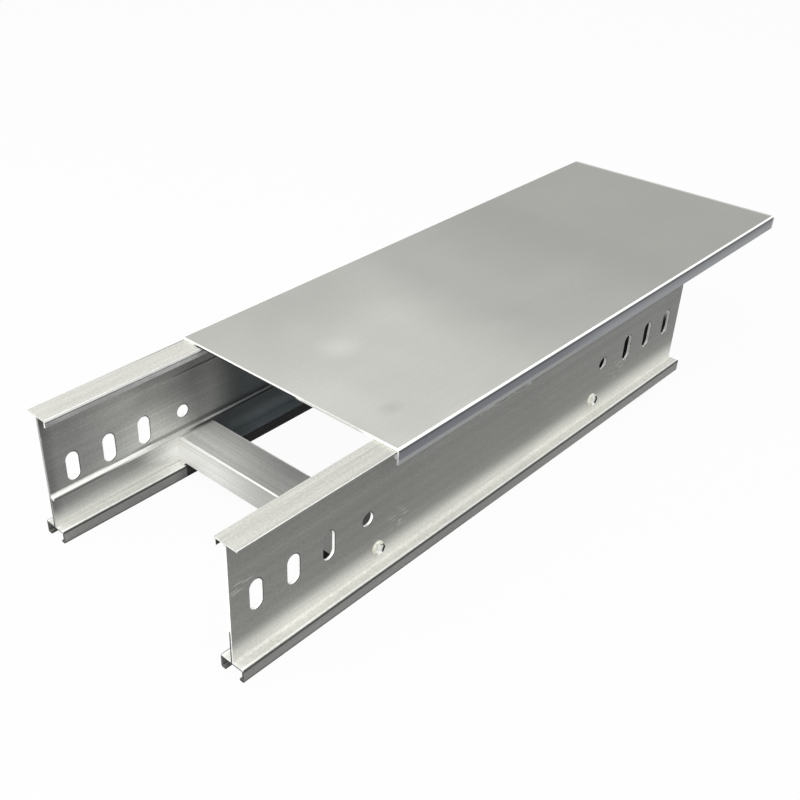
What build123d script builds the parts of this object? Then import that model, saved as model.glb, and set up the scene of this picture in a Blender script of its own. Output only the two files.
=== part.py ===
"""Aluminium cable ladder section: two extruded side rails, two rungs and a sliding cover.

The ladder lies along X and stands on the feet of its rails, with +Z up. The origin is on
the floor, in the middle of the whole part as it stands with its cover drawn back.
All lengths are in millimetres.
"""
from build123d import *
import os

os.makedirs("parts", exist_ok=True)

# Rail sizes
rail_length = 500.0
rail_height = 100.0
flange_span = 200.0  # outer edge to outer edge of the two top flanges
web_thickness = 2.0
flange_outer_reach = 9.0  # top flange beyond the web's outer face
flange_inner_reach = 8.0
flange_thickness = 1.5
flange_lip_depth = 6.0
flange_lip_thickness = 1.4

# Foot of the rail: a slot that opens downward between two hooked lips
foot_height = 10.0
foot_outer_reach = 9.0
foot_inner_reach = 9.0
foot_flange_thickness = 1.5
foot_lip_thickness = 1.5
foot_hook_length = 3.8
foot_hook_thickness = 1.6
foot_inner_fillet = 2.4
foot_outer_fillet = 1.4
web_root_fillet = 2.0
edge_fillet = 0.5

# Ledge along the web, just above the rungs, and the lines that the die draws along the web
ledge_width = 3.7
ledge_thickness = 1.1
ledge_fillet = 1.0
ledge_tip_fillet = 0.3
ledge_gap = 1.6  # top of a rung to the underside of the ledge
inner_ridge_height = 81.5
inner_ridge_width = 2.6
inner_ridge_rise = 0.4
outer_groove_height = 77.5
outer_groove_width = 2.0
outer_groove_depth = 0.2

# Openings at each end of a rail: upright slots, then one round hole
slots_per_end = 3
first_slot_offset = 20.0
slot_pitch = 30.0
slot_length = 22.0
slot_width = 10.0
opening_height = 51.0
round_hole_offset = 115.0
round_hole_radius = 5.0

# Rungs
rung_width = 32.0
rung_height = 22.2
rung_wall = 1.6
rung_return = 7.0  # bottom lip turned inward
rung_edge_fillet = 0.6
rung_bottom_fillet = 1.5
rung_end_offset = 125.0  # from each end of the rails to the middle of a rung
port_drop = 9.0  # top of the rung down to the middle of its screw port
port_outer_radius = 4.2
port_bore_radius = 2.5
port_stem_width = 2.4

# Screws, with a hexagon head that is hollowed on top
screw_shank_radius = 2.4
screw_shank_length = 18.0
screw_tip_length = 2.5
screw_tip_angle = 30.0  # degrees
screw_hole_clearance = 0.4
head_across_flats = 8.0
head_height = 3.4
head_chamfer = 0.3
head_rim = 0.7  # round the hollow in the top of the head
head_hollow_depth = 1.1
head_flange_radius = 4.9
head_flange_thickness = 0.8

# Cover
cover_length = 502.0
cover_opening = 129.0  # how far the cover is drawn back from the near end
cover_sheet = 1.5
cover_lip_height = 11.0
cover_bend_radius = 0.6  # inside of the bend
cover_side_clearance = 0.3
cover_top_clearance = 0.1
hook_clearance = 0.3  # hook to the underside of the flange
hook_reach = 2.2  # hook beyond the inner face of the lip
hook_height = 4.0
hook_lead_in = 0.8  # chamfer that lets the hook snap over the edge of the flange

# Places that follow from the sizes
rail_start = -(cover_opening + cover_length) / 2
rail_end = rail_start + rail_length
cover_start = rail_start + cover_opening
flange_outer_edge = flange_span / 2
web_outer_face = flange_outer_edge - flange_outer_reach
web_inner_face = web_outer_face - web_thickness
flange_inner_edge = web_inner_face - flange_inner_reach
foot_outer_edge = web_outer_face + foot_outer_reach
foot_inner_edge = web_inner_face - foot_inner_reach
foot_width = foot_outer_edge - foot_inner_edge
rung_top = foot_height + rung_height
ledge_underside = rung_top + ledge_gap
ledge_top = ledge_underside + ledge_thickness
port_height = rung_top - port_drop
rung_places = {"near": rail_start + rung_end_offset, "far": rail_end - rung_end_offset}
slot_offsets = [first_slot_offset + index * slot_pitch for index in range(slots_per_end)]


def from_both_ends(offsets):
    """Places along the rail at the same offsets from its near and its far end."""
    return [rail_start + offset for offset in offsets] + [rail_end - offset for offset in offsets]


def near_points(vertices, points, reach=0.01):
    """The vertices of a profile that lie on the given (across, up) points."""
    chosen = []
    for vertex in vertices:
        for across, up in points:
            if abs(vertex.X - across) < reach and abs(vertex.Y - up) < reach:
                chosen.append(vertex)
    return chosen


# Left side rail: the extruded profile, drawn in Y and Z
with BuildPart() as side_rail_left:
    with BuildSketch(Plane.YZ.offset(rail_start)) as rail_profile:
        # Web, from the foot to the top
        with Locations((web_inner_face, foot_height / 2)):
            Rectangle(web_thickness, rail_height - foot_height / 2, align=(Align.MIN, Align.MIN))
        # Top flange, with a lip turned down along its inner edge
        with Locations((flange_inner_edge, rail_height)):
            Rectangle(flange_outer_edge - flange_inner_edge, flange_thickness, align=(Align.MIN, Align.MAX))
            Rectangle(flange_lip_thickness, flange_lip_depth, align=(Align.MIN, Align.MAX))
        # Ledge above the rung ends
        with Locations((web_inner_face, ledge_top)):
            Rectangle(ledge_width, ledge_thickness, align=(Align.MAX, Align.MAX))
        # Solid foot, hollowed below
        with Locations((foot_inner_edge, 0)):
            Rectangle(foot_width, foot_height, align=(Align.MIN, Align.MIN))
        fillet(
            near_points(
                rail_profile.vertices(),
                [(foot_inner_edge, 0), (foot_outer_edge, 0)],
            ),
            foot_outer_fillet,
        )
        fillet(near_points(rail_profile.vertices(), [(web_outer_face, foot_height)]), web_root_fillet)
        fillet(near_points(rail_profile.vertices(), [(web_inner_face, ledge_top)]), ledge_fillet)
        fillet(
            near_points(
                rail_profile.vertices(),
                [
                    (flange_inner_edge, rail_height),
                    (flange_outer_edge, rail_height),
                    (foot_inner_edge, foot_height),
                    (foot_outer_edge, foot_height),
                ],
            ),
            edge_fillet,
        )
        fillet(
            near_points(rail_profile.vertices(), [(web_inner_face - ledge_width, ledge_top)]),
            ledge_tip_fillet,
        )
        # Slot in the foot: a room with rounded floor corners, and its narrower mouth
        with BuildSketch(mode=Mode.SUBTRACT) as foot_room:
            with Locations((foot_inner_edge + foot_lip_thickness, foot_hook_thickness)):
                Rectangle(
                    foot_width - 2 * foot_lip_thickness,
                    foot_height - foot_flange_thickness - foot_hook_thickness,
                    align=(Align.MIN, Align.MIN),
                )
            fillet(foot_room.vertices().group_by(Axis.Y)[0], foot_inner_fillet)
        with Locations((foot_inner_edge + foot_width / 2, 0)):
            Rectangle(
                foot_width - 2 * foot_hook_length,
                2 * foot_hook_thickness,
                align=(Align.CENTER, Align.MIN),
                mode=Mode.SUBTRACT,
            )
        # Raised line on the inner face
        with BuildLine():
            Polyline(
                (web_inner_face, inner_ridge_height - inner_ridge_width / 2),
                (web_inner_face - inner_ridge_rise, inner_ridge_height - inner_ridge_width / 6),
                (web_inner_face - inner_ridge_rise, inner_ridge_height + inner_ridge_width / 6),
                (web_inner_face, inner_ridge_height + inner_ridge_width / 2),
                close=True,
            )
        make_face()
        # Shallow groove on the outer face
        with BuildLine():
            Polyline(
                (web_outer_face, outer_groove_height - outer_groove_width / 2),
                (web_outer_face - outer_groove_depth, outer_groove_height),
                (web_outer_face, outer_groove_height + outer_groove_width / 2),
                close=True,
            )
        make_face(mode=Mode.SUBTRACT)
    extrude(amount=rail_length)
    # Slots, round holes and screw holes through the web
    with BuildSketch(Plane.XZ.offset(-web_outer_face)):
        with Locations(*[(place, opening_height) for place in from_both_ends(slot_offsets)]):
            SlotOverall(slot_length, slot_width, rotation=90)
        with Locations(*[(place, opening_height) for place in from_both_ends([round_hole_offset])]):
            Circle(round_hole_radius)
        with Locations(*[(place, port_height) for place in rung_places.values()]):
            Circle(screw_shank_radius + screw_hole_clearance)
    extrude(amount=web_thickness, mode=Mode.SUBTRACT)
side_rail_left.part.label = "side_rail_left"

# Right side rail: the same extrusion and holes, mirrored across the middle plane
with BuildPart() as side_rail_right:
    add(side_rail_left.part)
    mirror(about=Plane.XZ, mode=Mode.REPLACE)
side_rail_right.part.label = "side_rail_right"


def make_rung(name, place):
    """A rung across the ladder: open below, flat on top, with a screw port under its top."""
    with BuildPart() as rung:
        with BuildSketch(Plane.XZ) as rung_profile:
            with Locations((place, foot_height)):
                Rectangle(rung_width, rung_height, align=(Align.CENTER, Align.MIN))
            fillet(rung_profile.vertices().group_by(Axis.Y)[-1], rung_edge_fillet)
            fillet(rung_profile.vertices().group_by(Axis.Y)[0], rung_bottom_fillet)
            with Locations((place, foot_height + rung_wall)):
                Rectangle(
                    rung_width - 2 * rung_wall,
                    rung_height - 2 * rung_wall,
                    align=(Align.CENTER, Align.MIN),
                    mode=Mode.SUBTRACT,
                )
            # Mouth between the two bottom lips
            with Locations((place, foot_height)):
                Rectangle(
                    rung_width - 2 * rung_return,
                    2 * rung_wall,
                    align=(Align.CENTER, Align.MIN),
                    mode=Mode.SUBTRACT,
                )
            # Screw port hanging from the top on a stem
            with Locations((place, port_height)):
                Rectangle(port_stem_width, port_drop - rung_wall / 2, align=(Align.CENTER, Align.MIN))
                Circle(port_outer_radius)
                Circle(port_bore_radius, mode=Mode.SUBTRACT)
        extrude(amount=web_inner_face, both=True)
    rung.part.label = name
    return rung.part


def make_screw(name, place, side):
    """A screw whose flanged, hollowed hexagon head bears on the rail's outer face; side is +1 or -1 in Y."""
    outward = Plane(origin=(place, side * web_outer_face, port_height), x_dir=(1, 0, 0), z_dir=(0, side, 0))
    with BuildPart() as screw:
        with BuildSketch(outward):
            Circle(head_flange_radius)
        extrude(amount=head_flange_thickness)
        with BuildSketch(outward):
            RegularPolygon(head_across_flats / 2, 6, major_radius=False)
        extrude(amount=head_height)
        chamfer(screw.edges().group_by(Axis.Y)[-1 if side > 0 else 0], head_chamfer)
        with BuildSketch(outward.offset(head_height)):
            RegularPolygon(head_across_flats / 2 - head_rim, 6, major_radius=False)
        extrude(amount=-head_hollow_depth, mode=Mode.SUBTRACT)
        with BuildSketch(outward):
            Circle(screw_shank_radius)
        extrude(amount=-screw_shank_length)
        with BuildSketch(outward.offset(-screw_shank_length)):
            Circle(screw_shank_radius)
        extrude(amount=-screw_tip_length, taper=screw_tip_angle)
    screw.part.label = name
    return screw.part


pieces = [side_rail_left.part, side_rail_right.part]
for position, place in rung_places.items():
    pieces.append(make_rung("rung_" + position, place))
    pieces.append(make_screw("screw_" + position + "_left", place, 1))
    pieces.append(make_screw("screw_" + position + "_right", place, -1))

# Cover: a flat top with two lips, each with a hook inside that snaps under the edge of the flange
cover_top = rail_height + cover_top_clearance + cover_sheet
cover_bottom = cover_top - cover_lip_height
cover_inner_half = flange_outer_edge + cover_side_clearance
cover_outer_half = cover_inner_half + cover_sheet
hook_top = rail_height - flange_thickness - hook_clearance
hook_bottom = hook_top - hook_height
hook_tip = cover_inner_half - hook_reach

with BuildPart() as cover:
    with BuildSketch(Plane.YZ.offset(cover_start)) as cover_profile:
        # Top and lips
        with Locations((0, cover_top)):
            Rectangle(2 * cover_outer_half, cover_lip_height, align=(Align.CENTER, Align.MAX))
        fillet(cover_profile.vertices().group_by(Axis.Y)[-1], cover_sheet + cover_bend_radius)
        with BuildSketch(mode=Mode.SUBTRACT) as inside:
            with Locations((0, cover_top - cover_sheet)):
                Rectangle(
                    2 * cover_inner_half,
                    cover_lip_height - cover_sheet,
                    align=(Align.CENTER, Align.MAX),
                )
            fillet(inside.vertices().group_by(Axis.Y)[-1], cover_bend_radius)
        # Hook along the inside of each lip
        with Locations((hook_tip, hook_top)):
            Rectangle(hook_reach, hook_height, align=(Align.MIN, Align.MAX))
        with Locations((-hook_tip, hook_top)):
            Rectangle(hook_reach, hook_height, align=(Align.MAX, Align.MAX))
        chamfer(
            near_points(
                cover_profile.vertices(),
                [(hook_tip, hook_bottom), (-hook_tip, hook_bottom)],
            ),
            hook_lead_in,
        )
    extrude(amount=cover_length)
cover.part.label = "cover"
pieces.append(cover.part)

for piece in pieces:
    export_step(piece, "parts/" + piece.label + ".step")
    print(piece.label, round(piece.volume), "mm3")
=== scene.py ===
# %% [markdown]
# # A cable ladder section in bare aluminium
#
# The real object is a short length of cable ladder. Two side rails are extruded: hot aluminium is pushed
# through a die, so every rail has one section from end to end and fine lines along its length. Two rungs
# are extruded in the same way and screwed between the rails. A flat cover hooks over the top flanges and
# is drawn back here, so that the near rung shows.
#
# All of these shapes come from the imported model, and this script adds none. It gives each piece its metal,
# and it sets up the camera, the floor and the lamps. Unless a comment says otherwise, places are in the
# model's own frame, in millimetres: X runs along the ladder, Y across it and Z up.

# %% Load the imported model
import math
from types import SimpleNamespace

import bpy
from mathutils import Matrix, Vector


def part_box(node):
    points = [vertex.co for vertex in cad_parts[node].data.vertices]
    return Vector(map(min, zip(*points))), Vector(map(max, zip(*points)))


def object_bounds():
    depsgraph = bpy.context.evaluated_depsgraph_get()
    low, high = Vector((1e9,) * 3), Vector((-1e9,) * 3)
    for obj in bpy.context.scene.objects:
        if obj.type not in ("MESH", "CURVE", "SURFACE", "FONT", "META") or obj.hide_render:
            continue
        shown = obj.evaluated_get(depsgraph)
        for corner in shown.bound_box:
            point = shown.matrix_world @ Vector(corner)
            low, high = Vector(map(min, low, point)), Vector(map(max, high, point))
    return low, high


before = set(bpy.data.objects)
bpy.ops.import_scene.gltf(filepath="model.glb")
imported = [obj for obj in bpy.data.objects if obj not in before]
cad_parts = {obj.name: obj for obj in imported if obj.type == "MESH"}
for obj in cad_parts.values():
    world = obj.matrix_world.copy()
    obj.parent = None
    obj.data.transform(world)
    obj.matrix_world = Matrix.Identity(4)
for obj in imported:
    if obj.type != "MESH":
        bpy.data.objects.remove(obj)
cad_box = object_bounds()
MM = 0.001
print("Nodes:", sorted(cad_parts))
print("Whole part, m:", [round(v, 4) for v in cad_box[1] - cad_box[0]])

# %% [markdown]
# ## The camera
#
# The photograph was taken from the front right, looking down on the ladder. Its perspective was worked
# out from the corners of the rails, whose sizes are known. The picture is a little off the lens's own
# middle, as when a larger picture is cropped, and the camera's shift says by how much.

# %% Camera
PICTURE = 800  # pixels across and down
focal_length = 1069.6  # pixels
lens_middle = (305.1, 430.3)  # where the lens's axis meets the picture, in pixels
camera_place = Vector((-597.1, -434.4, 467.1)) * MM
heading = math.radians(45.11)  # from +X towards +Y
downward = math.radians(33.69)
roll = math.radians(-0.45)

forward = Vector((
    math.cos(downward) * math.cos(heading),
    math.cos(downward) * math.sin(heading),
    -math.sin(downward),
))
level_right = Vector((math.sin(heading), -math.cos(heading), 0))
level_up = level_right.cross(forward)
right = math.cos(roll) * level_right + math.sin(roll) * level_up
up = math.cos(roll) * level_up - math.sin(roll) * level_right

camera_data = bpy.data.cameras.new("camera")
camera_data.sensor_width = 36
camera_data.lens = focal_length / PICTURE * camera_data.sensor_width
camera_data.shift_x = 0.5 - lens_middle[0] / PICTURE
camera_data.shift_y = lens_middle[1] / PICTURE - 0.5
camera_data.clip_start = 0.01
camera_data.clip_end = 50
camera = bpy.data.objects.new("camera", camera_data)
turn = Matrix((right, up, -forward)).transposed()
camera.matrix_world = Matrix.Translation(camera_place) @ turn.to_4x4()
bpy.context.scene.collection.objects.link(camera)
bpy.context.scene.camera = camera
bpy.context.scene.view_settings.view_transform = "Standard"
print("Lens, mm:", round(camera_data.lens, 1))
print("Shift:", round(camera_data.shift_x, 3), round(camera_data.shift_y, 3))

# %% [markdown]
# ## Small helpers
#
# Colours are easier to choose as they look on a screen, but a shader wants them in linear light, so one
# helper turns the first into the second. The others put a node in a tree and join it to what it reads.
# A socket knows its own tree, so arithmetic on sockets needs no tree to be named.

# %% Helper for colours


def screen(red, green, blue):
    """A colour as a screen shows it, 0 to 255, as the linear colour that a shader wants."""
    linear = []
    for value in (red, green, blue):
        share = value / 255
        linear.append(share / 12.92 if share <= 0.04045 else ((share + 0.055) / 1.055) ** 2.4)
    return (*linear, 1.0)


print("Bare aluminium, linear:", [round(v, 3) for v in screen(200, 200, 196)])

# %% Helpers for nodes


def feed(socket, value):
    """Join an input to another node's output, or set it to a plain value."""
    if isinstance(value, bpy.types.NodeSocket):
        socket.id_data.links.new(value, socket)
    else:
        socket.default_value = value


def tree_of(*values):
    """The node tree of the first socket among some values."""
    return next(value for value in values if isinstance(value, bpy.types.NodeSocket)).id_data


def add(tree, kind, **inputs):
    """A node with its inputs set or joined. An input's name is a word, or in_0, in_1 for its place."""
    node = tree.nodes.new("ShaderNode" + kind)
    for name, value in inputs.items():
        key = int(name[3:]) if name.startswith("in_") else name.replace("_", " ")
        feed(node.inputs[key], value)
    return node


def maths(operation, first, second=0.0, third=0.0):
    """One step of arithmetic on single values."""
    node = tree_of(first, second, third).nodes.new("ShaderNodeMath")
    node.operation = operation
    for socket, value in zip(node.inputs, (first, second, third)):
        feed(socket, value)
    return node.outputs[0]


def vector_maths(operation, first, second=(0, 0, 0)):
    """One step of arithmetic on vectors. The outputs are Vector and Value."""
    node = tree_of(first, second).nodes.new("ShaderNodeVectorMath")
    node.operation = operation
    feed(node.inputs[0], first)
    feed(node.inputs[1], second)
    return node.outputs


def blend(share, first, second, mode="MIX"):
    """A colour between two, by share."""
    node = tree_of(share, first, second).nodes.new("ShaderNodeMix")
    node.data_type = "RGBA"
    node.blend_type = mode
    for socket, value in zip((node.inputs["Factor"], node.inputs[6], node.inputs[7]), (share, first, second)):
        feed(socket, value)
    return node.outputs[2]


print("Each arithmetic helper adds one node and gives back its output")

# %% [markdown]
# ## Masks
#
# A mask is a value that is 1 on one part of a surface and 0 elsewhere. Where a piece is worn, bent or
# shaded in a known place, a mask made from the place itself finds it, and its size is a real size. A
# picture painted for each piece could do the same, but it would need the piece to be unwrapped, and its
# edges would blur close up. A soft step gives each mask its edge. Masks are multiplied where both have to
# hold, and the larger is taken where one is enough.

# %% Helpers for masks


def between(value, low, high, to_low=0.0, to_high=1.0):
    """Value taken from the range low..high to the range to_low..to_high, smoothly and held at the ends."""
    node = tree_of(value).nodes.new("ShaderNodeMapRange")
    node.interpolation_type = "SMOOTHSTEP"
    for name, number in zip(("From Min", "From Max", "To Min", "To Max"), (low, high, to_low, to_high)):
        node.inputs[name].default_value = number
    feed(node.inputs["Value"], value)
    return node.outputs["Result"]


def times(*values):
    """The product of some masks and numbers."""
    product = values[0]
    for value in values[1:]:
        product = maths("MULTIPLY", product, value)
    return product


def most(*masks):
    """The largest of some masks."""
    largest = masks[0]
    for mask in masks[1:]:
        largest = maths("MAXIMUM", largest, mask)
    return largest


def less(mask):
    """What a mask leaves out."""
    return maths("SUBTRACT", 1.0, mask)


def window(value, low, high, soft):
    """1 where value is between low and high, falling to 0 over soft on each side."""
    return times(between(value, low - soft, low), between(value, high, high + soft, 1.0, 0.0))


def soft_spot(place, centre, radii):
    """1 at centre, falling to 0 at an ellipsoid round it. All in millimetres."""
    from_centre = vector_maths("SUBTRACT", place, centre)[0]
    in_radii = vector_maths("DIVIDE", from_centre, radii)[0]
    return between(vector_maths("LENGTH", in_radii)["Value"], 0.0, 1.0, 1.0, 0.0)


def swing(value, depth):
    """A factor that swings by depth round 1 while value goes from 0 to 1."""
    return maths("MULTIPLY_ADD", maths("SUBTRACT", value, 0.5), depth, 1.0)


def distance(first, second):
    """How far a place is from an axis, from its two distances beside the axis."""
    return maths("SQRT", maths("ADD", times(first, first), times(second, second)))


print("Masks are made from places in millimetres")

# %% [markdown]
# ## The studio
#
# The object stands on a plain white floor under soft light, which comes from above, from the open end at
# the left and, weaker, from the right. Bare metal shows its surroundings, so this is part of what makes the
# flanges bright while the outer face of the right rail, which mirrors the floor beside it, stays grey; the
# rest is painted light in the metals' colours. The floor is a real pale surface that keeps a shadow, and
# rays from the camera and from shiny metal also see some plain white in it.
#
# Under a real ladder the light hardly reaches the floor in two places: under the near rung and under the
# overhanging end of the cover. Both show through openings of the right rail, and there the floor itself is
# nearly black, with soft edges.

# %% Floor


def white_share(tree, camera_share, mirror_share):
    """How much plain white a ray sees, by what kind of ray it is."""
    path = tree.nodes.new("ShaderNodeLightPath")
    seen = times(path.outputs["Is Camera Ray"], camera_share)
    for kind in ("Is Glossy Ray", "Is Transmission Ray"):
        seen = most(seen, times(path.outputs[kind], mirror_share))
    return seen


def deep_shadow(tree):
    """Where the floor is in deep shadow. Places on the floor are in metres."""
    place = add(tree, "SeparateXYZ", Vector=add(tree, "TexCoord").outputs["Object"]).outputs
    x, y = place["X"], place["Y"]
    under_rung = times(between(x, -0.212, -0.207), between(x, -0.08, -0.14), window(y, -0.062, -0.036, 0.02))
    under_overhang = times(between(x, 0.07, 0.14), between(x, 0.31, 0.26), window(y, -0.062, 0.05, 0.045))
    # The second ends along a slanting line, so that it stays behind the rail for the camera
    slanting = maths("MULTIPLY_ADD", y, -2.28, x)
    return most(under_rung, times(under_overhang, between(slanting, 0.38, 0.37)))


FLOOR_SIZE = 8.0
bpy.ops.mesh.primitive_plane_add(size=FLOOR_SIZE, location=(0, 0, 0))
floor = bpy.context.object
floor.name = "floor"
floor_material = bpy.data.materials.new("floor_white")
floor_material.use_nodes = True
tree = floor_material.node_tree
tree.nodes.clear()
shadow = deep_shadow(tree)
white = add(tree, "Emission", Color=(1, 1, 1, 1), Strength=1.0)
matt = add(tree, "BsdfDiffuse", Color=blend(shadow, (0.55, 0.55, 0.55, 1), (0.03, 0.03, 0.03, 1)))
share = times(white_share(tree, 0.96, 0.45), less(shadow))
mix = add(tree, "MixShader", in_0=share, in_1=matt.outputs[0], in_2=white.outputs[0])
add(tree, "OutputMaterial", Surface=mix.outputs[0])
floor.data.materials.append(floor_material)
print("Floor, m:", FLOOR_SIZE)

# %% Sky
world = bpy.data.worlds.new("studio")
bpy.context.scene.world = world
world.use_nodes = True
tree = world.node_tree
tree.nodes.clear()
plain = add(tree, "Background", Color=(1, 1, 1, 1), Strength=0.5)
bright = add(tree, "Background", Color=(1, 1, 1, 1), Strength=1.0)
mix = add(tree, "MixShader", in_0=white_share(tree, 1.0, 0.6), in_1=plain.outputs[0], in_2=bright.outputs[0])
add(tree, "OutputWorld", Surface=mix.outputs[0])
print("Sky:", world.name)

# %% [markdown]
# ### Lamps
#
# The lamp at the open end shines low along the ladder. The smooth cover would mirror it as a glaring
# patch, so shiny metal doesn't see that one lamp, and only matt surfaces take its light. A rougher cover
# would hide the patch too, but it would also lose the soft picture of the sky.

# %% Lamps


def soft_lamp(name, place, aim, width, height, power, mirrored=True):
    """A rectangular lamp, in metres, that shines at aim. Shiny metal shows it only if it is mirrored."""
    data = bpy.data.lights.new(name, "AREA")
    data.shape = "RECTANGLE"
    data.size = width
    data.size_y = height
    data.energy = power
    lamp = bpy.data.objects.new(name, data)
    lamp.location = place
    lamp.rotation_euler = (Vector(aim) - Vector(place)).to_track_quat("-Z", "Y").to_euler()
    lamp.visible_glossy = mirrored
    bpy.context.scene.collection.objects.link(lamp)
    return lamp


middle = (cad_box[0] + cad_box[1]) / 2
soft_lamp("lamp_above", (-0.2, -0.1, 1.6), middle, 1.8, 1.8, 17)
soft_lamp("lamp_open_end", (-1.3, 0.55, 0.75), (-0.25, 0.0, 0.03), 1.9, 1.2, 19, mirrored=False)
soft_lamp("lamp_right", (-0.3, -1.5, 1.2), middle, 1.4, 0.9, 8)

# %% [markdown]
# ## Patterns in the metal
#
# Three node groups hold what the metals have in common. The first draws what a die or a roller leaves:
# fine lines along the piece, coarser bands among them and broad soft clouds. The second draws short thin
# scratches, and the rail's material lets them show only in a few soft patches. The third tells by the way
# the metal faces whether it is a top, a rounded rim or a cut end. The first two read a place in
# millimetres, so their sizes are real sizes.

# %% Helpers for groups


def new_group(name, inputs, outputs):
    """An empty node group with named inputs, each with its default, and named outputs."""
    group = bpy.data.node_groups.new(name, "ShaderNodeTree")
    for label, kind, value in inputs:
        socket = group.interface.new_socket(label, in_out="INPUT", socket_type="NodeSocket" + kind)
        socket.default_value = value
    for label in outputs:
        group.interface.new_socket(label, in_out="OUTPUT", socket_type="NodeSocketFloat")
    return group, group.nodes.new("NodeGroupInput").outputs, group.nodes.new("NodeGroupOutput").inputs


def use_group(tree, group, **inputs):
    """The outputs of a placed copy of a group, with its inputs set or joined."""
    node = tree.nodes.new("ShaderNodeGroup")
    node.node_tree = group
    for name, value in inputs.items():
        feed(node.inputs[name.replace("_", " ")], value)
    return node.outputs


def stretched_noise(place, stretch, **settings):
    """Noise drawn out by stretch, a vector. Scale is in features per millimetre."""
    drawn_out = vector_maths("MULTIPLY", place, stretch)[0]
    return add(tree_of(place), "TexNoise", Vector=drawn_out, **settings).outputs["Fac"]


print("Groups take their inputs by name")

# %% Drawn lines, scratches and facing


def make_drawn_lines():
    """Fine lines along the metal, coarser bands among them, and soft clouds."""
    group, given, put = new_group(
        "drawn_lines",
        [("Place", "Vector", (0, 0, 0)), ("Stretch", "Vector", (1, 1, 1)), ("Cloud Scale", "Float", 0.01)],
        ["Lines", "Bands", "Clouds"],
    )
    place, stretch = given["Place"], given["Stretch"]
    lines = stretched_noise(place, stretch, Scale=1.1, Detail=4.0, Roughness=0.65)
    bands = stretched_noise(place, stretch, Scale=0.16, Detail=2.0, Roughness=0.5)
    clouds = add(group, "TexNoise", Vector=place, Scale=given["Cloud Scale"], Detail=2.0, Distortion=0.4)
    feed(put["Lines"], between(lines, 0.25, 0.75))
    feed(put["Bands"], between(bands, 0.3, 0.7))
    feed(put["Clouds"], between(clouds.outputs["Fac"], 0.3, 0.7))
    return group


def make_scratches():
    """Short thin scratches, nearly along the metal."""
    group, given, put = new_group(
        "scratches",
        [("Place", "Vector", (0, 0, 0)), ("Stretch", "Vector", (1, 1, 1))],
        ["Scratches"],
    )
    place, stretch = given["Place"], given["Stretch"]
    thin = stretched_noise(place, stretch, Scale=0.9, Detail=1.0, Roughness=0.5, Distortion=0.4)
    feed(put["Scratches"], between(thin, 0.56, 0.64))
    return group


def make_facing():
    """Which way the metal faces: up, along the ladder at a cut, or half up on a rounded rim."""
    group, given, put = new_group("facing", [("Normal", "Vector", (0, 0, 1))], ["Up", "Cut", "Rim"])
    normal = add(group, "SeparateXYZ", Vector=given["Normal"]).outputs
    feed(put["Up"], between(normal["Z"], 0.55, 0.95))
    feed(put["Cut"], between(maths("ABSOLUTE", normal["X"]), 0.5, 0.8))
    feed(put["Rim"], times(between(normal["Z"], 0.15, 0.45), less(between(normal["Z"], 0.8, 0.985))))
    return group


drawn_lines = make_drawn_lines()
scratches = make_scratches()
facing = make_facing()
print("Groups:", [group.name for group in bpy.data.node_groups])

# %% [markdown]
# ## Metals
#
# A metal with lines along it spreads what it mirrors across the lines. That is why the web of a rail
# shows its own bright foot as a soft glow low down. The shader does the same when it is anisotropic, and
# the tangent says which way across is; the rail's colour also carries that glow as a painted reflection. A
# very small constant is added to the tangent, because on a face that the lines run straight into there would
# be none.

# %% Helpers for metals


def start_metal(name, line_axis, spread, stretch, cloud_scale):
    """A metal with lines along one axis, and what its colour is worked out from. Places are in mm."""
    material = bpy.data.materials.new(name)
    material.use_nodes = True
    tree = material.node_tree
    shader = tree.nodes["Principled BSDF"]
    shader.inputs["Anisotropic"].default_value = spread
    object_place = add(tree, "TexCoord").outputs["Object"]
    place = add(tree, "Mapping", Vector=object_place, Scale=(1 / MM, 1 / MM, 1 / MM)).outputs[0]
    parts = add(tree, "SeparateXYZ", Vector=place).outputs
    normal = add(tree, "NewGeometry").outputs["True Normal"]
    across = vector_maths("CROSS_PRODUCT", normal, line_axis)[0]
    feed(shader.inputs["Tangent"], vector_maths("ADD", across, (0.002, 0.002, 0.001))[0])
    pattern = use_group(tree, drawn_lines, Place=place, Stretch=stretch, Cloud_Scale=cloud_scale)
    return SimpleNamespace(
        material=material, tree=tree, shader=shader, place=place, normal=normal,
        x=parts["X"], y=parts["Y"], z=parts["Z"], sideways=maths("ABSOLUTE", parts["Y"]),
        lines=pattern["Lines"], bands=pattern["Bands"], clouds=pattern["Clouds"],
    )


def tell_faces(metal):
    """Give a metal its masks of tops, cuts and rounded rims."""
    faces = use_group(metal.tree, facing, Normal=metal.normal)
    metal.top, metal.cut, metal.rim = faces["Up"], faces["Cut"], faces["Rim"]


def grain(metal, scale):
    """Fine grain, at scale features per millimetre."""
    return add(metal.tree, "TexNoise", Vector=metal.place, Scale=scale, Detail=2.0).outputs["Fac"]


def scale_colour(colour, *factors):
    """A colour made lighter or darker by the product of some factors."""
    factor = times(*factors)
    grey = add(tree_of(colour), "CombineColor", in_0=factor, in_1=factor, in_2=factor)
    return blend(1.0, colour, grey.outputs[0], mode="MULTIPLY")


def finish_metal(metal, colour, metallic, roughness, depth):
    """Join the colour and the finish to the shader. The lines are raised by depth, in metres."""
    bump = add(metal.tree, "Bump", Height=metal.lines, Strength=1.0, Distance=depth)
    feed(metal.shader.inputs["Base Color"], colour)
    feed(metal.shader.inputs["Metallic"], metallic)
    feed(metal.shader.inputs["Roughness"], roughness)
    feed(metal.shader.inputs["Normal"], bump.outputs[0])
    print(metal.material.name, len(metal.tree.nodes), "nodes")
    return metal.material


print("Across its lines a metal spreads what it mirrors")

# %% [markdown]
# ## Where the pieces lie
#
# The masks have to know where each piece starts and ends, and where its middle is. These places could be
# typed in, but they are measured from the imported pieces, so that they are the model's own. The web of a
# rail is in the middle of its flange, and the rungs end at its inner face.

# %% Measure the pieces


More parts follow.
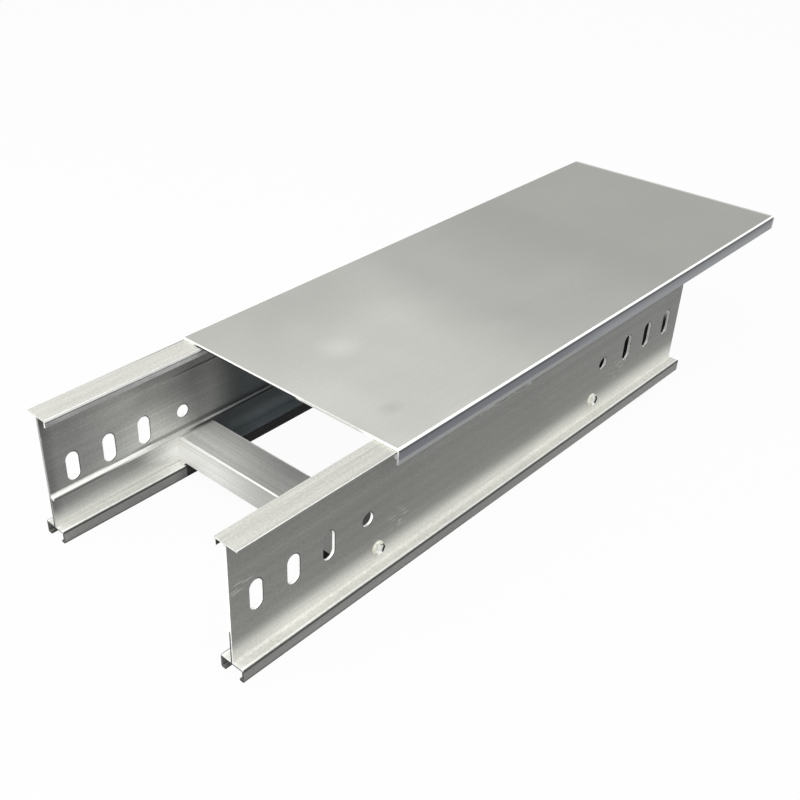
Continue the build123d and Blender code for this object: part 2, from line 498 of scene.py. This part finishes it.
def corners(name):
    """The lowest and the highest corner of a piece, in millimetres."""
    return [[round(value / MM, 1) for value in corner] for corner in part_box(name)]


rail_low, rail_high = corners("side_rail_left")
rung_low, rung_high = corners("rung_near")
far_rung_low = corners("rung_far")[0]
screw_low, screw_high = corners("screw_near_left")
cover_low, cover_high = corners("cover")

rail_start = rail_low[0]
rail_middle = (rail_low[0] + rail_high[0]) / 2
web_middle = (rail_low[1] + rail_high[1]) / 2
web_outside = 2 * web_middle - rung_high[1]
rung_middle = (rung_low[0] + rung_high[0]) / 2
half_rung_pitch = (far_rung_low[0] - rung_low[0]) / 2
screw_height = (screw_low[2] + screw_high[2]) / 2
cover_start = cover_low[0]
cover_end = cover_high[0]
print("Rails start at", rail_start, "and the cover at", cover_start, "mm")
print("Rungs are", 2 * half_rung_pitch, "mm apart")

# %% [markdown]
# ### Rails
#
# One material serves both rails, because they are one extrusion, mirrored. It is built up as a painter
# would: a grey web first, then the lip, the ledge, the foot and the tops, then thin bright and dark edges,
# and last the lines of the die over everything. Each step below gets the colour so far and gives it back
# with one thing added.

# %% Rail: start
rail = start_metal("rail_aluminium", (1, 0, 0), 0.75, stretch=(0.006, 1.0, 1.0), cloud_scale=0.012)
tell_faces(rail)
rail.inner = between(rail.sideways, web_middle - 0.5, web_middle + 0.5, 1.0, 0.0)
rail.outer = less(rail.inner)
rail.from_web = maths("ABSOLUTE", maths("SUBTRACT", rail.sideways, web_middle))
rail.near_inside = times(rail.inner, between(rail.x, -60, 20, 1.0, 0.0))
print("The web's middle is", web_middle, "mm from the ladder's middle")

# %% [markdown]
# The web is a mid grey, and its inner face is painted a little lighter than the outer one, as painted
# light. The inner face is lighter still near the open end, where large soft patches of painted light lie
# on it, and painted shade darkens it again close to the sawn end. Low down it brightens smoothly towards
# its foot, as a painted reflection of the foot, and most of all beside the near rung, where painted light
# stands for two pale faces lighting each other.

# %% Rail: web


def light_patches():
    """Soft patches of light on the inner face near the open end."""
    patches = most(
        soft_spot(rail.place, (-228, 89, 48), (60, 30, 46)),
        times(soft_spot(rail.place, (-248, 89, 78), (46, 30, 34)), 0.6),
        times(soft_spot(rail.place, (-222, 89, 74), (44, 30, 38)), 0.55),
    )
    patches = times(patches, most(between(rail.z, 34, 40), between(rail.x, -250, -225)))
    over_rung = times(soft_spot(rail.place, (-172, 89, 55), (30, 30, 70)), 0.35)
    return times(most(patches, over_rung), rail.inner)


def paint_web():
    """The grey of the web on both faces."""
    # Painted light: the inner face is painted lighter than the outer one
    web = blend(rail.inner, screen(141, 142, 138), screen(162, 163, 160))
    # Painted shade: the inner face darkens towards the sawn end, and its last strip more
    near_end = times(rail.inner, between(rail.x, -275, -312, 0.0, 0.6))
    web = blend(near_end, web, screen(134, 135, 132))
    last_strip = times(rail.inner, between(rail.x, -305, -314, 0.0, 0.5))
    web = blend(last_strip, web, screen(96, 97, 95))
    return blend(light_patches(), web, screen(226, 227, 222))


def paint_glow(colour):
    """A painted reflection of the foot in the web, higher on the outer face, and painted light beside the
    near rung.
    """
    over_ledge = between(rail.z, 33.5, 36, 0.0, 0.6)
    by_rung = times(rail.inner, soft_spot(rail.place, (-205, 89, 27), (40, 30, 46)))
    by_rung = times(by_rung, maths("SUBTRACT", 1.15, over_ledge))
    rail.beside_rung = maths("MINIMUM", by_rung, 1.0)
    low_glow = between(maths("MULTIPLY_ADD", rail.inner, 5.0, rail.z), 31, 12.5)
    faint_glow = times(rail.outer, between(rail.z, 48, 26, 0.0, 0.1))
    outer_tone = blend(between(rail.x, -130, -40), screen(236, 236, 229), screen(230, 230, 223))
    inner_tone = blend(rail.beside_rung, screen(246, 246, 240), screen(255, 255, 251))
    tone = blend(rail.inner, outer_tone, inner_tone)
    return blend(most(low_glow, rail.beside_rung, faint_glow), colour, tone)


rail_colour = paint_glow(paint_web())
print("Web:", len(rail.tree.nodes), "nodes so far")

# %% [markdown]
# The lip of the flange hangs down on the inner side and is painted lighter away from the open end, as
# painted light. The ledge overhangs the ends of the rungs. It carries a painted highlight along its top
# near the open end, its nose is painted darker as painted shade, and painted shade also darkens the web just
# over it by the rung.

# %% Rail: lip and ledge


def paint_flange_lip(colour):
    on_lip = times(between(rail.sideways, 82.6, 82.2), between(rail.z, 93, 93.8))
    # Painted light: the lip is painted lighter away from the open end, nearly white near the rung
    tone = blend(between(rail.x, -315, -300), screen(168, 169, 168), screen(194, 195, 194))
    tone = blend(between(rail.x, -290, -205), tone, screen(238, 239, 238))
    return blend(on_lip, colour, tone)


def find_ledge():
    """Masks of the painted highlight along the ledge's top, of the painted shade on its nose and of the
    painted highlight on its edge behind the near rung.
    """
    top_line = times(rail.inner, window(rail.z, 34.5, 36.3, 0.2), between(rail.x, -210, -245))
    end_line = times(rail.inner, window(rail.z, 36.0, 37.2, 0.3), between(rail.x, -262, -278, 0.0, 0.7))
    rail.ledge_line = most(top_line, end_line)
    back_line = times(window(rail.z, 34.5, 35.2, 0.2), between(rail.x, -190, -180))
    rail.back_line = times(back_line, between(rail.sideways, 86.2, 87.0), rail.near_inside)
    left_rail = between(rail.y, 0, 1)
    nose = times(window(rail.z, 33.4, 35.4, 0.2), between(rail.sideways, 87.1, 85.9), left_rail)
    bare = times(between(rail.x, -285, -225), between(rail.x, -190, -206))
    rail.nose = times(nose, less(bare))


def paint_over_ledge(colour):
    """A darker line of painted shade on the web, just over the ledge and by the rung."""
    line = times(rail.inner, window(rail.z, 36.2, 38.4, 0.8), window(rail.x, -235, -165, 15), 0.5)
    return blend(line, colour, screen(96, 98, 96))


find_ledge()
rail_colour = paint_over_ledge(paint_flange_lip(rail_colour))
print("Lip and ledge:", len(rail.tree.nodes), "nodes so far")

# %% [markdown]
# The upright sides of the foot are a dull grey. All that faces the sky is painted pale, as painted light:
# the flange and the top of the foot, which is painted nearly white beside the near rung.

# %% Rail: foot and tops


def paint_foot(colour):
    rail.foot_lip = between(rail.z, 9.4, 9.9, 1.0, 0.0)
    colour = blend(rail.foot_lip, colour, screen(150, 151, 148))
    # Painted shade on the rounded bottom of the foot's sides, towards the open end
    rounding = times(between(rail.z, 2.6, 1.6), between(rail.x, -40, -160, 0.0, 0.8))
    return blend(rounding, colour, screen(96, 97, 94))


def paint_tops(colour):
    # Painted light: the tops are painted pale, the flange a little lighter away from the open end
    flange = blend(between(rail.x, -315, -185), screen(209, 209, 202), screen(217, 217, 210))
    foot = blend(rail.inner, screen(235, 235, 228), screen(228, 228, 221))
    foot = blend(rail.beside_rung, foot, screen(255, 255, 249))
    top = blend(between(rail.z, 40, 60), foot, flange)
    # Painted shade along the outer edge of the left rail's tops, from near the open end on
    outer_edge = times(window(rail.y, 98.6, 101, 0.4), between(rail.x, -290, -200, 0.0, 0.5))
    top = blend(outer_edge, top, screen(120, 121, 118))
    return blend(rail.top, colour, top)


rail_colour = paint_tops(paint_foot(rail_colour))
print("Foot and tops:", len(rail.tree.nodes), "nodes so far")

# %% [markdown]
# Rounded edges catch the light as thin lines of painted highlight, and the walls of the punched openings
# are fresh metal with a painted highlight on it. Just under the bright edges of the flange and of the foot
# lies a thin line of painted shade.

# %% Rail: bright and dark edges


def paint_bright_edges(colour):
    # Painted highlights on the rounded rims, the ledge and the punched walls
    flange_rim = times(rail.rim, between(rail.z, 98.8, 99.1))
    lip_rim = times(between(rail.sideways, 82.2, 81.8), between(rail.z, 97.9, 98.2), less(rail.top))
    rail.foot_rim = times(rail.top, between(rail.z, 11, 10.2), window(rail.from_web, 7.7, 8.8, 0.2))
    rail.punched = times(between(rail.from_web, 0.9, 0.8), window(rail.z, 35.5, 66, 1.0))
    rail.bright = most(flange_rim, lip_rim, rail.ledge_line, rail.foot_rim, rail.punched)
    return blend(rail.bright, colour, screen(255, 255, 251))


def paint_dark_edges(colour):
    # Painted shade just under the bright edges and on the ledge's nose
    under_foot_edge = times(window(rail.z, 8.7, 10.1, 0.3), between(rail.from_web, 9.2, 9.5))
    under_flange_rim = times(between(rail.from_web, 7.6, 7.9), window(rail.z, 97.1, 97.7, 0.2), 0.6)
    colour = blend(most(under_foot_edge, under_flange_rim), colour, screen(84, 85, 83))
    return blend(rail.nose, colour, screen(112, 113, 111))


rail_colour = paint_dark_edges(paint_bright_edges(rail_colour))
print("Edges:", len(rail.tree.nodes), "nodes so far")

# %% [markdown]
# A saw leaves the ends bright, and their near white is partly a painted highlight. The foot's end is
# painted dark as painted shade, and so is the left half of the web's end low down, and all of the web's
# end on the left rail.

# %% Rail: sawn ends


def paint_sawn_ends(colour):
    sawn = blend(between(rail.z, 96, 98), screen(255, 255, 252), screen(222, 222, 218))
    colour = blend(rail.cut, colour, sawn)
    left_of_web = maths("SUBTRACT", rail.y, times(maths("SIGN", rail.y), web_middle))
    low_half = times(window(left_of_web, -0.1, 1.2, 0.1), window(rail.z, 9, 33, 2.0))
    near_end = between(rail.x, rail_start + 0.3, rail_start + 0.2, 0.0, 0.7)
    left_rail = times(between(rail.y, 88.0, 88.5), window(rail.z, 9, 97, 2.0), near_end)
    # Painted shade on the foot's end, on the web's end low down and on the left rail's near end
    dull = most(low_half, left_rail, between(rail.z, 9.6, 9.2))
    return blend(times(rail.cut, dull), colour, screen(66, 67, 65))


rail_colour = paint_sawn_ends(rail_colour)
print("Sawn ends:", len(rail.tree.nodes), "nodes so far")

# %% [markdown]
# Each slot and hole has a thin dark rim of painted shade on one side. A ring of real shape would be finer
# than the picture can show, so it is only coloured. The rail is the same from both ends, so a place's
# distance from the rail's middle finds all the openings at once. The three slots repeat, and the WRAP
# operation folds them onto one.

# %% Rail: rims of the openings
OPENING_HEIGHT = 51.0
OPENING_RADIUS = 5.0
HOLE_FROM_MIDDLE = 135.0
SLOT_FROM_MIDDLE = 200.0  # the middle slot of three
SLOT_PITCH = 30.0
SLOT_STRAIGHT = 6.0  # half the straight part of a slot


def paint_opening_rims(colour):
    """A dark ring of painted shade round each opening, seen only on the side towards the far end."""
    from_middle = maths("SUBTRACT", rail.x, rail_middle)
    along = maths("ABSOLUTE", from_middle)
    level = maths("ABSOLUTE", maths("SUBTRACT", rail.z, OPENING_HEIGHT))
    is_slot = between(along, 150, 151)
    beside_slot = maths("WRAP", maths("SUBTRACT", along, SLOT_FROM_MIDDLE), -SLOT_PITCH / 2, SLOT_PITCH / 2)
    beside_hole = maths("SUBTRACT", along, HOLE_FROM_MIDDLE)
    beside = add(rail.tree, "Mix", Factor=is_slot, A=beside_hole, B=beside_slot).outputs[0]
    over_or_under = most(maths("SUBTRACT", level, times(is_slot, SLOT_STRAIGHT)), 0.0)
    away = distance(over_or_under, beside)
    ring = times(
        window(away, OPENING_RADIUS - 0.1, OPENING_RADIUS + 0.6, 0.2),
        between(times(beside, maths("SIGN", from_middle)), -1.0, 2.0),
        between(along, 247, 245),
        between(along, 127, 129),
        less(most(rail.cut, rail.punched)),
        0.9,
    )
    return blend(ring, colour, screen(60, 61, 60))


rail_colour = paint_opening_rims(rail_colour)
print("Openings:", len(rail.tree.nodes), "nodes so far")

# %% [markdown]
# The lines of the die are stronger on the inner face. Under the cover the inner face goes dark and slightly
# blue. Behind the near rung little light comes in, and the foot's lip there is nearly black. The studio's
# own shadow is too weak for that, because its floor is bright, so the shade is coloured in.

# %% Rail: lines and shade


def paint_lines(colour):
    line_depth = maths("MULTIPLY_ADD", rail.inner, 0.16, 0.16)
    # Painted shade: the outer face is a little darker low down near the open end
    near_end = times(rail.outer, between(rail.x, -255, -320, 0.0, 0.15), between(rail.z, 40, 26))
    rail.under_ledge = between(rail.z, 34.7, 34.0)
    # Painted shade under the cover, dark and slightly blue
    under_cover = times(rail.near_inside, less(rail.under_ledge), between(rail.x, -176, -142))
    colour = scale_colour(
        colour,
        swing(rail.lines, line_depth),
        swing(rail.bands, 0.1),
        swing(rail.clouds, 0.06),
        swing(grain(rail, 0.55), 0.4),
        less(near_end),
        less(times(under_cover, 0.25)),
    )
    colour = blend(times(under_cover, 0.6), colour, screen(80, 91, 95))
    # Painted highlight on the ledge's edge behind the near rung
    return blend(times(rail.back_line, 0.9), colour, screen(250, 252, 252))


def paint_behind_rung(colour):
    """The shade below the ledge, between the near rung and the middle of the ladder."""
    rail.behind_rung = times(between(rail.x, -190, -174), rail.under_ledge, rail.near_inside)
    further = between(rail.x, -172, -120)
    low = blend(further, screen(118, 126, 129), screen(186, 197, 201))
    high = blend(further, screen(92, 98, 100), screen(112, 119, 122))
    inside = blend(between(rail.z, 26, 12), high, low)
    inside = blend(rail.foot_lip, inside, screen(26, 28, 29))
    return blend(rail.behind_rung, colour, inside)


def paint_rung_corner(colour):
    """Painted shade: the dark corner on the foot, just in front of the near rung."""
    before_it = times(rail.foot_lip, between(rail.x, -222, -209, 0.0, 0.3))
    corner = most(window(rail.x, -207, -190, 2.0), before_it)
    on_foot = times(rail.inner, between(rail.z, 10.6, 10.2), between(rail.x, -188, -190))
    outermost = most(between(rail.sideways, 83.2, 82.8), rail.foot_lip)
    return blend(times(corner, on_foot, outermost), colour, screen(34, 35, 35))


rail_colour = paint_rung_corner(paint_behind_rung(paint_lines(rail_colour)))
print("Lines and shade:", len(rail.tree.nodes), "nodes so far")

# %% [markdown]
# A few patches of short scratches lie on the outer face of the right rail, as from handling, and elsewhere
# they are hardly seen. Last comes the finish. The pale parts are made less metallic, because bright light
# on real bare metal hides what it mirrors, and a more matt surface keeps them evenly pale.

# %% Rail: scratches and finish
SCRATCHED_PATCHES = (  # the centre and the reach of each
    ((-171, -91, 36), (16, 3, 12)),
    ((-306, -91, 64), (14, 3, 8)),
    ((96, -91, 37), (18, 3, 14)),
    ((-60, -91, 77.5), (75, 3, 3)),
)


def paint_scratches(colour):
    """Pale scratches, strong in their patches and faint elsewhere."""
    marks = use_group(rail.tree, scratches, Place=rail.place, Stretch=(0.12, 1.0, 0.9))["Scratches"]
    patches = most(*[soft_spot(rail.place, centre, reach) for centre, reach in SCRATCHED_PATCHES])
    return blend(times(marks, maths("MULTIPLY_ADD", patches, 0.6, 0.04)), colour, screen(215, 215, 210))


rail_colour = paint_scratches(rail_colour)
low_web = times(between(rail.z, 40, 12), between(rail.z, 9.4, 9.9))
pale = most(low_web, rail.beside_rung, rail.bright, rail.cut, rail.behind_rung, rail.back_line)
rail_metallic = maths("MULTIPLY_ADD", pale, -0.6, 0.9)
rail_metallic = maths("MULTIPLY_ADD", most(rail.beside_rung, rail.foot_rim), -0.28, rail_metallic)
rail_roughness = maths("MULTIPLY_ADD", rail.lines, 0.1, 0.42)
rail_metal = finish_metal(rail, rail_colour, rail_metallic, rail_roughness, 0.00002)

# %% [markdown]
# ### Rungs
#
# The lines run across the ladder here. The front of the near rung is the brightest face of all at its left
# end, beside the left rail, and it gets darker towards the right. A lamp inside the ladder could light it
# like that, but it would also shine on the rails, so the change of tone is painted light in the metal. The
# top is painted the same way, brightest at its left end, darker to the right and a little darker at its
# front. The right part of the front is painted darker still as painted shade, and the edges of the left
# part carry painted highlights. Both rungs share the material, so places along X are taken from the middle
# of whichever rung it is.

# %% Rung material


def make_rung_metal():
    """Extruded aluminium with its lines across the ladder."""
    rung = start_metal("rung_aluminium", (0, 1, 0), 0.75, stretch=(1.0, 0.006, 1.0), cloud_scale=0.02)
    tell_faces(rung)
    from_middle = maths("WRAP", maths("SUBTRACT", rung.x, rung_middle), -half_rung_pitch, half_rung_pitch)
    beside_middle = maths("ABSOLUTE", from_middle)
    # Painted light: the front is brightest at its left end, with painted shade on its right part
    front = blend(between(rung.y, 74, -10), screen(255, 255, 251), screen(176, 177, 172))
    front = blend(between(rung.y, -12, -24), front, screen(112, 113, 110))
    # Painted light and shade on the top, the same way
    top = blend(between(rung.y, 70, -10), screen(234, 235, 230), screen(176, 177, 173))
    top = blend(between(from_middle, -2, -13, 0.0, 0.2), top, screen(150, 151, 147))
    top = blend(between(rung.y, 81, 88), top, screen(255, 255, 251))
    top = blend(between(rung.y, -20, -50), top, screen(96, 97, 95))
    colour = blend(rung.top, front, top)
    drawn = times(swing(rung.lines, 0.3), swing(rung.bands, 0.14))
    colour = scale_colour(colour, drawn, swing(grain(rung, 0.6), 0.3))
    # Painted highlights along the rung's edges
    front_edge = times(between(beside_middle, 14.9, 15.3), between(rung.z, 31.0, 31.5))
    end_edge = times(between(rung.y, 87.2, 87.8), between(beside_middle, 15.6, 15.9))
    edge = times(most(front_edge, end_edge), between(rung.y, -20, -12))
    colour = blend(edge, colour, screen(255, 255, 252))
    metallic = maths("MULTIPLY_ADD", most(less(rung.top), edge), -0.25, 0.35)
    roughness = maths("MULTIPLY_ADD", rung.lines, 0.1, 0.4)
    return finish_metal(rung, colour, metallic, roughness, 0.00002)


rung_metal = make_rung_metal()

# %% [markdown]
# ### Cover
#
# Rolled sheet is smoother than an extrusion: soft clouds and hardly any lines. Its top is painted darker
# towards its far end and a little darker at its left near corner, as a painted reflection of the sky, with
# one light cloud of painted highlight and one faint darker spot near the open end. Its sides are painted
# lighter low down and towards the far end, as painted light, with a band of painted shade under the bend.
# The sheared edge at the near end and the bend along each side carry painted highlights, and the lower edge
# of the lip shows as a pale line of painted highlight. The lower half of the sheared edge is in deep shade
# over the left part of the open ladder. The sheet is too thin for its own shadow to draw such a fine line,
# so it is a mask by height.

# %% Cover: top and sides
cover = start_metal("cover_aluminium", (1, 0, 0), 0.4, stretch=(0.01, 0.8, 0.8), cloud_scale=0.009)
tell_faces(cover)


def paint_cover_top():
    # Painted reflection: the top darkens towards the far end and a little at its left near corner
    colour = blend(between(cover.x, -70, 20), screen(208, 208, 202), screen(185, 186, 181))
    colour = blend(between(cover.x, 20, 170), colour, screen(173, 174, 168))
    left_corner = times(between(cover.y, 10, 95), between(cover.x, -60, 0, 1.0, 0.0))
    colour = blend(left_corner, colour, screen(193, 194, 188))
    # A painted highlight: one light cloud
    cloud = soft_spot(cover.place, (-120, 11, 101), (24, 20, 30))
    colour = blend(times(cloud, 0.8), colour, screen(222, 222, 216))
    # One faint darker spot
    stain = soft_spot(cover.place, (-154, -67, 101), (14, 9, 30))
    return blend(times(stain, 0.5), colour, screen(186, 187, 181))


def paint_cover_sides():
    # Painted light: the sides are lighter low down and towards the far end
    down = between(cover.z, 99, 93)
    near_part = blend(down, screen(118, 121, 127), screen(126, 129, 134))
    far_part = blend(down, screen(130, 133, 136), screen(154, 157, 160))
    side = blend(between(cover.x, -20, 60), near_part, far_part)
    # Painted shade in a band just under the bend
    side = blend(window(cover.z, 99.4, 100.6, 0.4), side, screen(94, 97, 101))
    # Painted highlight: a pale line along the lip's lower edge near the open end
    lower_edge = times(between(cover.z, 93.9, 93.5), between(cover.x, 60, -20))
    return blend(lower_edge, side, screen(158, 160, 160))


cover_colour = blend(cover.top, paint_cover_sides(), paint_cover_top())
print("Cover's top and sides:", len(cover.tree.nodes), "nodes so far")

# %% Cover: edges and finish


def paint_sheared_end(colour):
    # The sheared edge carries a painted highlight, with painted shade on its lower half over the open ladder
    over_ladder = window(cover.y, -12, 84, 6.0)
    lower_half = times(between(cover.z, 101.2, 101.0), over_ladder, between(cover.x, 0, -1))
    sheared = blend(cover.dim, screen(252, 252, 248), screen(212, 212, 208))
    sheared = blend(lower_half, sheared, screen(24, 26, 27))
    return blend(cover.cut, colour, sheared)


def find_bright_rim():
    """Painted highlights on the bends along the sides, on the burr at the near end and, fainter, on the far
    edge.
    """
    bend = times(window(cover.sideways, 99.9, 101.2, 0.35), between(cover.z, 100.5, 101.0))
    at_end = between(cover.x, cover_start + 1.5, cover_start + 0.8)
    burr = times(at_end, maths("MULTIPLY_ADD", cover.dim, -0.5, 1.0), cover.top)
    far_edge = times(between(cover.x, cover_end - 3, cover_end - 2), 0.35)
    return most(bend, burr, far_edge)


# Where the painted highlights at the near end are dimmer
cover.dim = times(window(cover.y, -68, -22, 8.0), between(cover.z, 99.6, 100.0))
bright_rim = find_bright_rim()
cover_colour = blend(bright_rim, paint_sheared_end(cover_colour), screen(255, 255, 252))
cover_colour = scale_colour(
    cover_colour, swing(cover.clouds, 0.07), swing(cover.lines, 0.04), swing(grain(cover, 0.6), 0.14)
)
cover_metallic = maths("MULTIPLY_ADD", most(bright_rim, cover.cut), -0.6, 0.9)
cover_roughness = maths("MULTIPLY_ADD", cover.clouds, 0.08, 0.34)
cover_metal = finish_metal(cover, cover_colour, cover_metallic, cover_roughness, 0.000005)

# %% [markdown]
# ### Screws
#
# The screws are plated steel and nearly white. Their heads are hollowed on top, and each head is only a few
# pixels wide in the picture, so what counts is the contrast of the bright head with the painted shade on
# the wall of its hollow and on one side of its rim.

# %% Screw material


def make_screw_metal():
    """Bright plated steel, with painted shade on the wall of the hollow in the head and on one side of its
    rim.
    """
    screw = start_metal("screw_steel", (0, 0, 1), 0.0, stretch=(1.0, 1.0, 1.0), cloud_scale=0.3)
    from_middle = maths("WRAP", maths("SUBTRACT", screw.x, rung_middle), -half_rung_pitch, half_rung_pitch)
    level = maths("SUBTRACT", screw.z, screw_height)
    radius = distance(level, from_middle)
    proud = maths("SUBTRACT", screw.sideways, web_outside)
    hollow = times(between(radius, 3.9, 3.85), between(proud, 2.1, 2.2))
    colour = blend(screw.clouds, screen(250, 250, 236), screen(255, 255, 246))
    # Painted light: the hollow's floor is painted full white
    colour = blend(hollow, colour, screen(255, 255, 252))
    facing_end = between(add(screw.tree, "SeparateXYZ", Vector=screw.normal).outputs["X"], -0.3, -0.6)
    slanting = maths("MULTIPLY_ADD", level, 0.35, from_middle)
    shaded_rim = times(window(radius, 3.3, 4.1, 0.1), between(slanting, 0.1, 0.6), between(proud, 3.2, 3.3))
    shade = most(times(facing_end, hollow), shaded_rim)
    colour = blend(shade, colour, screen(10, 10, 10))
    metallic = maths("MULTIPLY_ADD", shade, -0.1, 0.1)
    roughness = maths("MULTIPLY_ADD", screw.lines, 0.12, 0.3)
    return finish_metal(screw, colour, metallic, roughness, 0.00001)


screw_metal = make_screw_metal()

# %% [markdown]
# ### Dressing the pieces
#
# A piece's name starts with what it is, so the name picks the metal. Each piece keeps its own mesh and
# place from the model, and only its material changes.

# %% Dress the nodes
metals = {"side_rail": rail_metal, "rung": rung_metal, "screw": screw_metal, "cover": cover_metal}
for name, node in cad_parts.items():
    metal = next(metal for start, metal in metals.items() if name.startswith(start))
    node.data.materials.clear()
    node.data.materials.append(metal)
print("Dressed", len(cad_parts), "nodes")
